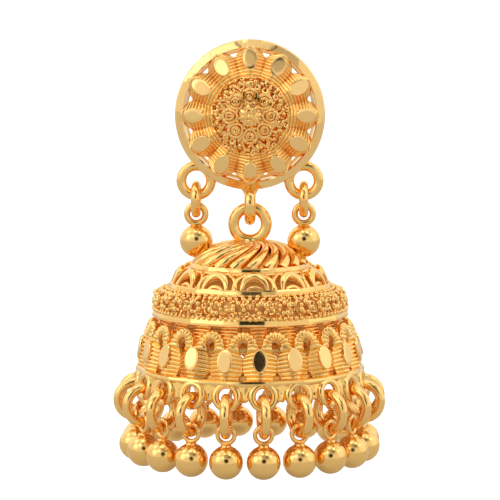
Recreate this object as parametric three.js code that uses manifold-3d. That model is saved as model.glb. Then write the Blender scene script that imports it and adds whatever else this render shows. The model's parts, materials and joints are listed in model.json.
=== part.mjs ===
// A jhumka earring: a domed stud for the ear, a hollow bell hanging free below it,
// and round beads on jump rings at the stud's sides and all round the bell's rim.
// Millimetres, +Z up, the front facing -Y. The origin is the centre of the stud's back,
// where the ear post leaves it towards +Y.
import * as THREE from "three";
import { mergeVertices } from "three/addons/utils/BufferGeometryUtils.js";
import Module from "manifold-3d";

const wasm = await Module();
wasm.setup();

// ---- Driving dimensions --------------------------------------------------------------

const LINK_GAP = 0.06; // left between two rings where one hangs on the other
const RIVET_GAP = 0.05; // left between the post's two discs and the strap that they grip
const HANG_Y = -0.8; // every ring hangs in the middle of the rim's thickness

const STUD = {
  rimRadius: 6.6,
  rimFront: 1.3, // how far the rim's wall comes forward of the back plane
  backRadius: 6.15, // the flat back ring's outer edge, inside a small chamfer
  backHole: 5.5,
  chamfer: 0.4,
  bezelFront: 1.62,
  bezelWidth: 0.7,
  domeFront: 3.5,
  domeWall: 0.65,
  domeRings: 5,
};
const STRAP = { width: 1.6, thickness: 0.6, inset: 0.35, hole: 0.6 };
const POST = {
  radius: 0.45,
  tip: 10.6,
  groove: 8.6,
  grooveDepth: 0.12,
  grooveHalf: 0.25,
  rivetRadius: 0.95,
  rivetHead: 0.45,
  shoulder: 0.3,
};

// Round wire rings: radius is to the middle of the wire.
const SIDE_RING = { x: 4.74, z: -5.8, radius: 1.3, wire: 0.9 };
const SIDE_LINK = { radius: 1.25, wire: 0.8 };
const SIDE_LOOP = { radius: 0.81, wire: 0.58 };
const STAPLE = { z: -7.94, radius: 1.3, wire: 1.0 };
const BELL_LOOP = { radius: 1.44, wire: 1.0 };
const FRINGE_LINK = { radius: 1.52, wire: 0.86 };
const FRINGE_LOOP = { radius: 0.74, wire: 0.4 };

const BEAD = 1.46;
const BEAD_DROP = 2.38; // from the middle of a drop's loop down to the middle of its bead
const NECK = { radius: 0.42, length: 1.1 };

// The bell's outside, from the rim up to the crown: radius and height of each turn of the outline.
const BELL_OUTSIDE = [
  { at: "rim, lower edge", r: 10.14, z: -22.66 },
  { at: "rim, upper edge", r: 10.14, z: -22.06 },
  { at: "lower dome, foot", r: 9.9, z: -22.06 },
  { at: "lower dome, steep part", r: 9.88, z: -21.3 },
  { at: "lower dome, belly", r: 9.62, z: -20.1 },
  { at: "lower dome, shoulder", r: 9.2, z: -19.0 },
  { at: "lower dome, top", r: 8.6, z: -18.0 },
  { at: "third collar, lower edge", r: 8.62, z: -17.7 },
  { at: "third collar, upper edge", r: 8.44, z: -17.0 },
  { at: "grain band, waist", r: 8.2, z: -16.6 },
  { at: "grain band, belly", r: 8.2, z: -16.0 },
  { at: "grain band, shoulder", r: 8.0, z: -15.5 },
  { at: "second collar, lower edge", r: 6.96, z: -15.34 },
  { at: "second collar, upper edge", r: 6.96, z: -14.94 },
  { at: "arch tier, foot", r: 6.76, z: -14.94 },
  { at: "arch tier, shoulder", r: 6.08, z: -13.96 },
  { at: "arch tier, top", r: 5.12, z: -13.5 },
  { at: "first collar, upper edge", r: 5.12, z: -13.1 },
  { at: "crown, foot", r: 4.86, z: -12.86 },
  { at: "crown, middle", r: 3.0, z: -11.8 },
  { at: "crown, top edge", r: 1.48, z: -11.26 },
  { at: "crown, centre", r: 0, z: -11.26 },
];
const BELL_INSIDE = [
  { at: "inside, centre", r: 0, z: -12.1 },
  { at: "inside, under the crown", r: 3.4, z: -12.9 },
  { at: "inside, under the arch tier", r: 5.3, z: -14.4 },
  { at: "inside, under the second collar", r: 6.2, z: -15.9 },
  { at: "inside, under the third collar", r: 7.55, z: -17.0 },
  { at: "inside, shoulder", r: 8.2, z: -18.8 },
  { at: "inside, belly", r: 8.85, z: -20.4 },
  { at: "inside, foot", r: 9.1, z: -22.66 },
];

// The carrier: round wire bent into a U for each drop, soldered under the rim and leaning out.
const FRINGE = { count: 20, phaseDeg: 6.5 };
const CARRIER = {
  wire: 0.64,
  halfWidth: 0.97,
  topZ: -22.4,
  bendZ: -23.41,
  topRadius: 9.8,
  hangRadius: 10.2,
};

// Facets round each kind of shape.
const FACETS = {
  bell: 40,
  stud: 36,
  post: 12,
  thickWire: 8,
  thickRing: 12,
  thinWire: 6,
  thinRing: 12,
  loopWire: 5,
  loopRing: 8,
  bead: 8,
  beadRings: 5,
  carrierWire: 6,
  carrierBends: 6,
};

// ---- Materials -----------------------------------------------------------------------

const polishedGold = new THREE.MeshStandardMaterial({
  name: "polished_gold",
  color: 0xf2bd5c,
  roughness: 0.15,
  metalness: 1,
});
const filigreeGold = new THREE.MeshStandardMaterial({
  name: "filigree_gold",
  color: 0xe9b04f,
  roughness: 0.3,
  metalness: 1,
});
const wireGold = new THREE.MeshStandardMaterial({
  name: "wire_gold",
  color: 0xeeb656,
  roughness: 0.2,
  metalness: 1,
});

// ---- Helpers -------------------------------------------------------------------------

const QUARTER_TURN = Math.PI / 2;

// A closed geometry as a solid that can be joined and cut.
function solid(geometry) {
  geometry.deleteAttribute("normal");
  geometry.deleteAttribute("uv");
  const merged = mergeVertices(geometry);
  const corners = [];
  const index = merged.index.array;
  for (let i = 0; i < index.length; i += 3) {
    const [a, b, c] = index.slice(i, i + 3);
    if (a !== b && b !== c && c !== a) corners.push(a, b, c);
  }
  const vertProperties = merged.attributes.position.array;
  const triVerts = new Uint32Array(corners);
  return new wasm.Manifold(new wasm.Mesh({ numProp: 3, vertProperties, triVerts }));
}

function joined(...geometries) {
  return geometries.map(solid).reduce((whole, piece) => whole.add(piece));
}

function geometryOf(manifold) {
  const { vertProperties, triVerts } = manifold.getMesh();
  const geometry = new THREE.BufferGeometry();
  geometry.setAttribute("position", new THREE.BufferAttribute(vertProperties, 3));
  geometry.setIndex(new THREE.BufferAttribute(triVerts, 1));
  geometry.computeVertexNormals();
  return geometry;
}

function piece(name, shape, material) {
  const geometry = shape.isBufferGeometry ? shape : geometryOf(shape);
  const mesh = new THREE.Mesh(geometry, material);
  mesh.name = name;
  return mesh;
}

// A profile of { r, z } turned round the Z axis.
function turned(profile, facets) {
  const points = profile.map(({ r, z }) => new THREE.Vector2(r, z));
  return new THREE.LatheGeometry(points, facets).rotateX(QUARTER_TURN);
}

// A wire ring whose hole faces the front.
function frontRing({ radius, wire }, wireFacets, ringFacets) {
  return new THREE.TorusGeometry(radius, wire / 2, wireFacets, ringFacets).rotateX(QUARTER_TURN);
}

// A wire ring seen edge-on from the front, its hole facing sideways.
function sideRing(ring, wireFacets, ringFacets) {
  return frontRing(ring, wireFacets, ringFacets).rotateZ(QUARTER_TURN);
}

// The height of the middle of a ring that hangs on a wire whose middle is at wireZ.
function hangingZ(ring, wireZ, wire) {
  return wireZ + wire / 2 + LINK_GAP + ring.wire / 2 - ring.radius;
}

// ---- Places that follow from the dimensions --------------------------------------------

const sideLinkZ = hangingZ(SIDE_LINK, SIDE_RING.z - SIDE_RING.radius, SIDE_RING.wire);
const sideLoopZ = hangingZ(SIDE_LOOP, sideLinkZ - SIDE_LINK.radius, SIDE_LINK.wire);
const bellLoopZ = hangingZ(BELL_LOOP, STAPLE.z - STAPLE.radius, STAPLE.wire);
const carrierFootZ = CARRIER.bendZ - CARRIER.halfWidth;
const fringeLinkZ = hangingZ(FRINGE_LINK, carrierFootZ, CARRIER.wire);
const fringeLoopZ = hangingZ(FRINGE_LOOP, fringeLinkZ - FRINGE_LINK.radius, FRINGE_LINK.wire);

// ---- The stud --------------------------------------------------------------------------

// The dome is part of a sphere, given by its edge circle and by how far its top stands forward.
function domeProfile(edgeRadius, edgeFront, topFront) {
  const rise = topFront - edgeFront;
  const sphere = (edgeRadius ** 2 + rise ** 2) / (2 * rise);
  const points = [];
  for (let i = 0; i <= STUD.domeRings; i++) {
    const r = edgeRadius * (1 - i / STUD.domeRings);
    points.push({ r, z: topFront - sphere + Math.sqrt(sphere ** 2 - r ** 2) });
  }
  return points;
}

function studShell() {
  const bezelRadius = STUD.rimRadius - STUD.bezelWidth;
  const inside = domeProfile(STUD.backHole, STUD.rimFront - STUD.chamfer, STUD.domeFront - STUD.domeWall);
  const profile = [
    ...inside.reverse(),
    { r: STUD.backHole, z: 0 },
    { r: STUD.backRadius, z: 0 },
    { r: STUD.rimRadius, z: STUD.chamfer },
    { r: STUD.rimRadius, z: STUD.rimFront },
    { r: (STUD.rimRadius + bezelRadius) / 2, z: STUD.bezelFront },
    ...domeProfile(bezelRadius, STUD.bezelFront, STUD.domeFront),
  ];
  return turned(profile, FACETS.stud).rotateX(QUARTER_TURN);
}

function strap() {
  const length = STUD.backHole + STUD.backRadius;
  const geometry = new THREE.BoxGeometry(STRAP.width, STRAP.thickness, length);
  return geometry.translate(0, -STRAP.inset - STRAP.thickness / 2, 0);
}

function strapHole() {
  const depth = 2 * STRAP.thickness;
  const geometry = new THREE.CylinderGeometry(STRAP.hole, STRAP.hole, depth, FACETS.post);
  return geometry.translate(0, -STRAP.inset - STRAP.thickness / 2, 0);
}

function studPiece() {
  const sides = [-1, 1].map((side) =>
    frontRing(SIDE_RING, FACETS.thickWire, FACETS.thickRing).translate(
      side * SIDE_RING.x,
      HANG_Y,
      SIDE_RING.z,
    ),
  );
  const staple = sideRing(STAPLE, FACETS.thickWire, FACETS.thickRing).translate(0, HANG_Y, STAPLE.z);
  const whole = joined(studShell(), strap(), staple, ...sides).subtract(solid(strapHole()));
  return piece("stud", whole, filigreeGold);
}

// The post is riveted through the strap: a disc each side of it, and a groove near the tip.
function earPost() {
  const strapFront = STRAP.inset + STRAP.thickness;
  const profile = [
    { r: 0, z: -strapFront - RIVET_GAP - POST.rivetHead },
    { r: POST.rivetRadius, z: -strapFront - RIVET_GAP - POST.rivetHead },
    { r: POST.rivetRadius, z: -strapFront - RIVET_GAP },
    { r: POST.radius, z: -strapFront - RIVET_GAP },
    { r: POST.radius, z: -STRAP.inset + RIVET_GAP },
    { r: POST.rivetRadius, z: -STRAP.inset + RIVET_GAP },
    { r: POST.rivetRadius, z: -STRAP.inset + RIVET_GAP + POST.shoulder },
    { r: POST.radius, z: -STRAP.inset + RIVET_GAP + POST.shoulder },
    { r: POST.radius, z: POST.groove - POST.grooveHalf },
    { r: POST.radius - POST.grooveDepth, z: POST.groove },
    { r: POST.radius, z: POST.groove + POST.grooveHalf },
    { r: POST.radius, z: POST.tip - POST.radius },
    { r: 0, z: POST.tip },
  ];
  return piece("ear_post", turned(profile, FACETS.post).rotateX(-QUARTER_TURN), wireGold);
}

// ---- Drops: a wire loop, a short neck and a round bead ----------------------------------

function drop(name, loop) {
  const ring = frontRing(loop, FACETS.loopWire, FACETS.loopRing);
  const neck = new THREE.CylinderGeometry(NECK.radius, NECK.radius, NECK.length, FACETS.loopWire);
  neck.rotateX(QUARTER_TURN).translate(0, 0, -BEAD_DROP + BEAD);
  const bead = new THREE.SphereGeometry(BEAD, FACETS.bead, FACETS.beadRings);
  bead.rotateX(QUARTER_TURN).translate(0, 0, -BEAD_DROP);
  return piece(name, joined(ring, neck, bead), polishedGold);
}

function link(name, ring) {
  return piece(name, sideRing(ring, FACETS.thinWire, FACETS.thinRing), wireGold);
}

function sideDrop(side, label) {
  const group = new THREE.Group();
  const ring = link(`side_link_${label}`, SIDE_LINK);
  ring.position.z = sideLinkZ;
  const bead = drop(`side_drop_${label}`, SIDE_LOOP);
  bead.position.z = sideLoopZ;
  group.add(ring, bead);
  group.position.set(side * SIDE_RING.x, HANG_Y, 0);
  return group;
}

// ---- The bell --------------------------------------------------------------------------

// One U of the carrier in the plane facing the front, leaning out (towards -Y) as it goes down.
function carrierU() {
  const { halfWidth, topZ, bendZ, topRadius, hangRadius, wire } = CARRIER;
  const lean = (z) =>
    topRadius + ((hangRadius - topRadius) * (topZ - z)) / (topZ - carrierFootZ);
  const points = [new THREE.Vector3(-halfWidth, -lean(topZ), topZ)];
  for (let i = 0; i <= FACETS.carrierBends; i++) {
    const turn = Math.PI + (Math.PI * i) / FACETS.carrierBends;
    const z = bendZ + halfWidth * Math.sin(turn);
    points.push(new THREE.Vector3(halfWidth * Math.cos(turn), -lean(z), z));
  }
  points.push(new THREE.Vector3(halfWidth, -lean(topZ), topZ));
  const path = new THREE.CatmullRomCurve3(points, false, "centripetal");
  const section = new THREE.Shape();
  section.absarc(0, 0, wire / 2, 0, 2 * Math.PI, false);
  const curveSegments = FACETS.carrierWire / 2;
  const steps = FACETS.carrierBends + 2;
  return new THREE.ExtrudeGeometry(section, { steps, extrudePath: path, curveSegments });
}

function fringeTurn(i) {
  return ((FRINGE.phaseDeg + (360 * i) / FRINGE.count) * Math.PI) / 180;
}

function bellPiece() {
  const shell = turned([...BELL_INSIDE, ...BELL_OUTSIDE], FACETS.bell);
  const loop = frontRing(BELL_LOOP, FACETS.thickWire, FACETS.thickRing).translate(0, 0, bellLoopZ);
  const carrier = [];
  for (let i = 0; i < FRINGE.count; i++) carrier.push(carrierU().rotateZ(fringeTurn(i)));
  return piece("bell", joined(shell, loop, ...carrier), filigreeGold);
}

function fringeDrop(i) {
  const label = String(i + 1).padStart(2, "0");
  const ring = link(`jump_ring_${label}`, FRINGE_LINK);
  ring.position.set(0, -CARRIER.hangRadius, fringeLinkZ);
  const bead = drop(`drop_${label}`, FRINGE_LOOP);
  bead.position.set(0, -CARRIER.hangRadius, fringeLoopZ);
  const group = new THREE.Group();
  group.add(ring, bead);
  group.rotation.z = fringeTurn(i);
  return group;
}

function bellGroup() {
  const group = new THREE.Group();
  group.add(bellPiece());
  for (let i = 0; i < FRINGE.count; i++) group.add(fringeDrop(i));
  group.position.y = HANG_Y;
  return group;
}

// ---- The whole earring -----------------------------------------------------------------

const earring = new THREE.Group();
earring.add(studPiece(), earPost(), sideDrop(-1, "left"), sideDrop(1, "right"), bellGroup());

export default earring;
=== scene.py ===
# %% [markdown]
# # A jhumka earring, finished in Blender
#
# A jhumka is a small bell that hangs from a domed stud, with beads round its rim. The CAD
# model already holds its real sizes and says what moves. This lesson gives it its looks: every
# plain CAD solid is replaced by a surface worked out with numpy, in metres, in the same place.

# %% Load the frame and measure it
import json

import bmesh
import bpy
import numpy as np
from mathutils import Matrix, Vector
from numpy import degrees, pi, radians


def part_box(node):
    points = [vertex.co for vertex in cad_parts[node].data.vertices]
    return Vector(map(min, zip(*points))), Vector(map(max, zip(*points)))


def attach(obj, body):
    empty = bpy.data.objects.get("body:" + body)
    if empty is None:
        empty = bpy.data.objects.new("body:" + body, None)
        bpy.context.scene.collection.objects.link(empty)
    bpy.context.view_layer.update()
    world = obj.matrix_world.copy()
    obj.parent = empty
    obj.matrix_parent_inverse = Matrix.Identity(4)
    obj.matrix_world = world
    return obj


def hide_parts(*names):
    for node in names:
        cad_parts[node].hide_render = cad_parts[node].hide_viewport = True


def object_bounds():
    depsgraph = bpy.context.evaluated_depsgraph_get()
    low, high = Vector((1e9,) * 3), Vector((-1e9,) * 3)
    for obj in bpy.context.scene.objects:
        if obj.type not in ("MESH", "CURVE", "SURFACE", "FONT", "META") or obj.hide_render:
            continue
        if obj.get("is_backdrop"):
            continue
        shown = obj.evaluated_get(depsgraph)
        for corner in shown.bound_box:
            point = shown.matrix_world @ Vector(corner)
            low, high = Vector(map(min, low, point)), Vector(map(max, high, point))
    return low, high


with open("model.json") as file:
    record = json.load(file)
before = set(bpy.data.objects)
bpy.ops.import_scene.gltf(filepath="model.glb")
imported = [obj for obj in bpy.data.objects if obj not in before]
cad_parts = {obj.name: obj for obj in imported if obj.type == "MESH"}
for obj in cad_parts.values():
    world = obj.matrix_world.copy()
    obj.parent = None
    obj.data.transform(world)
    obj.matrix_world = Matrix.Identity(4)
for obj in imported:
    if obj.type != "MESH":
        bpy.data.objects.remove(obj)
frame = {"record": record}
cad_low, cad_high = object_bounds()

MM = 0.001
rng = np.random.default_rng(20)
print("CAD box in mm:", [round(side / MM, 2) for side in cad_high - cad_low])

# %% [markdown]
# ## Reading places from the frame
#
# A ring in the CAD model is a torus, so the middle of its box is its own middle, and a drop's
# box says where its bead ends. Reading these places, and not typing them again, keeps the looks
# on the model if the model changes.

# %% Places that the pieces share
def corners(node):
    """The lowest and highest corner of a CAD node's box, as arrays."""
    low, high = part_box(node)
    return np.array(low), np.array(high)


def middle(node):
    return sum(corners(node)) / 2


FRINGE = 20
FRINGE_NUMBERS = [f"{i + 1:02d}" for i in range(FRINGE)]
stud_low, stud_high = corners("stud")
bell_low, bell_high = corners("bell")
hinge = np.array(frame["record"]["behaviour"]["joints"][0]["pos_m"])

BELL_AXIS = np.array([0.0, middle("bell")[1], 0.0])
HANG_Y = BELL_AXIS[1]  # every ring hangs in this plane
RIM_FOOT = bell_high[2] - 14.96 * MM  # the lower edge of the bell's rim
print("bell axis y in mm:", round(HANG_Y / MM, 3), "rim foot z:", round(RIM_FOOT / MM, 2))

# %% [markdown]
# ## Surfaces from grids
#
# Each surface below is a function of two parameters, worked out on a grid of rows and columns as
# one array. Four neighbouring points make a face. A ring wraps both ways, a tube wraps one way
# and ends in a row whose points are all the same, and welding those points closes the pole. A
# volume worked out from the faces says whether they look outwards; if it is negative, they are
# turned round. The places on the grid also become a UV map, so that a finish can follow a wire.

# %% The grid helpers
WELD = 1e-8
SHARP = radians(42)


def grid_faces(rows, columns, wrap_rows, wrap_columns):
    """Each face's four corner numbers, and each corner's place on the grid.

    Corner (row, column) has the number row * columns + column, and a wrapped side goes on
    to the first row or column again.
    """
    row = np.arange(rows if wrap_rows else rows - 1)
    column = np.arange(columns if wrap_columns else columns - 1)
    row, column = (part.ravel() for part in np.meshgrid(row, column, indexing="ij"))
    steps = ((0, 0), (1, 0), (1, 1), (0, 1))
    numbers = [(row + a) % rows * columns + (column + b) % columns for a, b in steps]
    places = [np.stack([(row + a) / rows, (column + b) / columns], -1) for a, b in steps]
    return np.stack(numbers, -1), np.stack(places, 1)


def signed_volume(points, faces):
    """The sum of the tetrahedra between the origin and each half of each face."""
    a, b, c, d = (points[faces[:, i]] for i in range(4))
    return (np.einsum("ij,ij->", a, np.cross(b, c)) + np.einsum("ij,ij->", a, np.cross(c, d))) / 6


def joined(patches):
    """All the patches as one list of points, faces and places.

    A patch is (points, wrap_rows, wrap_columns), and its points are one grid, or several
    copies of it stacked in front.
    """
    all_points, all_faces, all_places, start = [], [], [], 0
    for points, wrap_rows, wrap_columns in patches:
        rows, columns = points.shape[-3:-1]
        copies = points.reshape(-1, rows * columns, 3)
        faces, places = grid_faces(rows, columns, wrap_rows, wrap_columns)
        if signed_volume(copies[0] - copies[0].mean(0), faces) < 0:
            faces, places = faces[:, ::-1], places[:, ::-1]
        firsts = start + rows * columns * np.arange(len(copies))
        all_faces.append((faces[None] + firsts[:, None, None]).reshape(-1, 4))
        all_places.append(np.tile(places, (len(copies), 1, 1)))
        all_points.append(copies.reshape(-1, 3))
        start += copies.shape[0] * copies.shape[1]
    return np.concatenate(all_points), np.concatenate(all_faces), np.concatenate(all_places)


def new_mesh(name, patches):
    points, faces, places = joined(patches)
    mesh = bpy.data.meshes.new(name)
    mesh.vertices.add(len(points))
    mesh.vertices.foreach_set("co", points.astype(np.float32).ravel())
    mesh.loops.add(faces.size)
    mesh.loops.foreach_set("vertex_index", faces.astype(np.int32).ravel())
    mesh.polygons.add(len(faces))
    mesh.polygons.foreach_set("loop_start", np.arange(0, faces.size, 4, dtype=np.int32))
    mesh.uv_layers.new(name="Way").uv.foreach_set("vector", places.astype(np.float32).ravel())
    mesh.update(calc_edges=True)
    return mesh


def piece(name, patches, finish, body, replaced=(), sharp=SHARP):
    """A finished piece: the poles welded, the shading smooth, and riding on its body."""
    mesh = new_mesh(name, patches)
    work = bmesh.new()
    work.from_mesh(mesh)
    bmesh.ops.remove_doubles(work, verts=work.verts, dist=WELD)
    work.to_mesh(mesh)
    work.free()
    mesh.shade_smooth()
    mesh.set_sharp_from_angle(angle=sharp)
    mesh.materials.append(finish)
    thing = bpy.data.objects.new(name, mesh)
    bpy.context.scene.collection.objects.link(thing)
    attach(thing, body)
    if replaced:
        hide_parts(*replaced)
    triangles = sum(len(polygon.vertices) - 2 for polygon in mesh.polygons)
    print(f"{name}: {triangles} triangles")
    return thing


# %% [markdown]
# ## Shapes that come back
#
# Wire rings, turned bands, wires along a curve, and beads are what this earring is soldered
# from, so each gets one function. A closed section carried round a circle gives a ring or a
# turned band, and carried along a curve it gives a wire.

# %% Rings, bands, wires and beads
TURN = 2 * pi


def around(count, start=0.0):
    """Evenly spaced angles that go once round."""
    return start + np.arange(count) * TURN / count


def turned_about_z(points, angle):
    """Points turned about the Z axis, where angle 0 is the front (-Y) and grows towards +X.

    With an array of angles, one copy of the points for each.
    """
    angle = np.asarray(angle, float)
    angle = angle.reshape(angle.shape + (1,) * (points.ndim - 1))
    x, y, z = points[..., 0], points[..., 1], points[..., 2]
    cos, sin = np.cos(angle), np.sin(angle)
    return np.stack([x * cos - y * sin, x * sin + y * cos, z + 0 * angle], -1)


def wire_ring(radius, wire, long=64, short=16):
    """A torus whose hole faces the front.

    A point is radius + wire/2 * cos(b) from the middle at the angle a, and wire/2 * sin(b)
    towards the front.
    """
    a, b = np.meshgrid(around(long), around(short), indexing="ij")
    out = radius + wire / 2 * np.cos(b)
    return np.stack([out * np.cos(a), wire / 2 * np.sin(b), out * np.sin(a)], -1)


def sideways(points):
    """A front-facing ring turned a quarter, so that it is seen edge-on from the front."""
    return turned_about_z(points, pi / 2)


def spun(radii, heights, angles):
    """A section of radii and heights spun about the Z axis: rows are angles, columns the section."""
    radii, angle = np.broadcast_arrays(radii, np.asarray(angles)[:, None])
    return np.stack([radii * np.sin(angle), -radii * np.cos(angle), heights + 0 * angle], -1)


def wire_along(path, outward, half_width, half_height, sides=12, roundness=1.0):
    """An oval section carried along a path, with its ends drawn together to a point.

    A point is path + half_width * cos(b) * across + half_height * sin(b) * outward, where
    across is square to the path and to outward. A roundness below 1 raises the cosine and the
    sine to that power, which squares the section up into a flat strip.
    """
    ahead = np.gradient(path, axis=-2)
    ahead /= np.linalg.norm(ahead, axis=-1, keepdims=True)
    across = np.cross(ahead, outward)
    across /= np.linalg.norm(across, axis=-1, keepdims=True)
    rising = np.cross(across, ahead)
    b = around(sides, pi / sides)[:, None]
    cos, sin = (np.sign(part) * np.abs(part) ** roundness for part in (np.cos(b), np.sin(b)))
    wide = np.asarray(half_width)[..., None, None] * cos
    high = np.asarray(half_height)[..., None, None] * sin
    tube = path[..., None, :] + wide * across[..., None, :] + high * rising[..., None, :]
    first = np.broadcast_to(path[..., :1, None, :], tube[..., :1, :, :].shape)
    last = np.broadcast_to(path[..., -1:, None, :], tube[..., -1:, :, :].shape)
    return np.concatenate([first, tube, last], axis=-3)


def bead(radius, rings=24, sides=48):
    """A sphere about the origin: rows go from its top to its bottom, columns round it."""
    down = np.linspace(0, pi, rings + 1)[:, None]
    round_ = around(sides)[None, :]
    flat = radius * np.sin(down)
    return np.stack(
        [flat * np.sin(round_), -flat * np.cos(round_), radius * np.cos(down) + 0 * round_], -1
    )


def smooth_step(value, low, high):
    """0 below low, 1 above high, and a soft S between."""
    t = np.clip((value - low) / (high - low), 0, 1)
    return t * t * (3 - 2 * t)


print("a 1 mm wire ring has", wire_ring(1, 1)[..., 0].size, "points")

# %% [markdown]
# ## The finishes
#
# The real metal is brass under a thin plate of 22-carat gold, so every finish is one deep yellow
# metal, save that the diamond-cut flats get a paler gold, a painted highlight. What differs is
# the surface: a diamond tool leaves mirror flats with very fine streaks, drawn wire has lines
# along it, cast beads keep a soft skin, and filigree is a little duller in its corners. Each
# finish is a Principled metal whose roughness and bump come from noise.
# A metal's colour is its mirror colour, and light that bounces twice between gold surfaces turns
# orange by itself, so the deep tones need no painting.

# %% A gold finish
GOLD = (0.985, 0.61, 0.20)
# A paler gold for the diamond-cut flats: a painted highlight, as they are the same metal.
PAINTED_HIGHLIGHT_GOLD = (1.0, 0.64, 0.24)
BACK_OF_STRAND = 0.56  # a strand's grid columns past this share are its back
BACK_ROUGHNESS = 0.45


def gold_finish(
    name, dull, bright, roughness, grain, stretch, bump,
    along_wire=False, colour=GOLD, satin_back=False,
):
    """Gold whose roughness wanders over its range, with a bump of noise.

    dull and bright scale the colour, roughness is the lowest and highest, grain is the
    noise's size in mm, stretch its squeeze along X, Y and Z, and bump is in mm. A satin
    back is rougher where the grid's columns lie behind the strand.
    """
    material = bpy.data.materials.new(name)
    material.use_nodes = True
    nodes, link = material.node_tree.nodes, material.node_tree.links.new
    shader = nodes["Principled BSDF"]
    shader.inputs["Metallic"].default_value = 1.0
    place = nodes.new("ShaderNodeTexCoord").outputs["UV" if along_wire else "Object"]
    squeeze = nodes.new("ShaderNodeMapping")
    unit = 1.0 if along_wire else 1 / MM
    squeeze.inputs["Scale"].default_value = [unit * part for part in stretch]
    link(place, squeeze.inputs["Vector"])
    noise = nodes.new("ShaderNodeTexNoise")
    noise.inputs["Scale"].default_value = 1 / grain
    noise.inputs["Detail"].default_value = 4.0
    link(squeeze.outputs["Vector"], noise.inputs["Vector"])
    for low, high, socket in (
        ([dull * part for part in colour[:3]], [bright * part for part in colour[:3]], "Base Color"),
        ([roughness[0]] * 3, [roughness[1]] * 3, "Roughness"),
    ):
        ramp = nodes.new("ShaderNodeValToRGB")
        ramp.color_ramp.elements[0].position = 0.3
        ramp.color_ramp.elements[1].position = 0.7
        ramp.color_ramp.elements[0].color = (*low, 1)
        ramp.color_ramp.elements[1].color = (*(min(part, 1) for part in high), 1)
        link(noise.outputs["Fac"], ramp.inputs["Fac"])
        if satin_back and socket == "Roughness":
            split = nodes.new("ShaderNodeSeparateXYZ")
            link(nodes.new("ShaderNodeTexCoord").outputs["UV"], split.inputs[0])
            behind = nodes.new("ShaderNodeMath")
            behind.operation = "GREATER_THAN"
            link(split.outputs["Y"], behind.inputs[0])
            behind.inputs[1].default_value = BACK_OF_STRAND
            duller = nodes.new("ShaderNodeMath")
            duller.operation = "MULTIPLY_ADD"
            link(behind.outputs[0], duller.inputs[0])
            duller.inputs[1].default_value = BACK_ROUGHNESS - roughness[0]
            link(ramp.outputs["Color"], duller.inputs[2])
            link(duller.outputs[0], shader.inputs[socket])
        else:
            link(ramp.outputs["Color"], shader.inputs[socket])
    height = nodes.new("ShaderNodeBump")
    height.inputs["Distance"].default_value = bump * MM
    height.inputs["Strength"].default_value = 1.0
    link(noise.outputs["Fac"], height.inputs["Height"])
    link(height.outputs["Normal"], shader.inputs["Normal"])
    return material


polished = gold_finish("Polished gold", 0.97, 1.0, (0.09, 0.15), 0.9, (1, 1, 1), 0.004)
# The flats' paler colour is a painted highlight.
cut_flat = gold_finish(
    "Diamond-cut gold with painted highlight", 0.97, 1.0, (0.10, 0.17), 0.5, (6, 6, 0.6), 0.002, colour=PAINTED_HIGHLIGHT_GOLD
)
filigree = gold_finish(
    "Filigree gold", 0.95, 1.0, (0.12, 0.20), 0.22, (1, 1, 1), 0.010, satin_back=True
)
grain_gold = gold_finish("Grained gold", 0.96, 1.0, (0.10, 0.18), 0.16, (1, 1, 1), 0.014)
drawn_wire = gold_finish(
    "Drawn wire gold", 0.95, 1.0, (0.10, 0.19), 0.12, (0.6, 6, 1), 0.004, along_wire=True
)
cast_bead = gold_finish("Cast bead gold", 0.95, 1.0, (0.13, 0.20), 0.45, (1, 1, 1), 0.009)
inside_gold = gold_finish("Inside gold", 0.90, 1.0, (0.35, 0.50), 0.3, (1, 1, 1), 0.020)
print("finishes:", [material.name for material in bpy.data.materials])

# %% [markdown]
# ## The ribbed strands
#
# The lower dome is a basket of hollow strands of coiled wire. Each strand climbs from the rim,
# bends over a drop-shaped opening and comes down on its other side, and the coils show as fine
# ribs across it. Two neighbouring strands meet on a crest, where an oval flat is cut.
# One half of a strand is a band between two edges on the unrolled wall. `s` runs up along
# it and `t` across it, from the opening to the crest, so one table of points serves the dome of
# the bell and, flattened out, the dome of the stud. Mirroring the band gives the other half.

# %% One half of a strand on the unrolled wall
class Strand:
    """The sizes of one half strand, in mm on the unrolled wall, x from its opening's middle."""

    def __init__(self, **sizes):
        self.__dict__.update(sizes)


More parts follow.
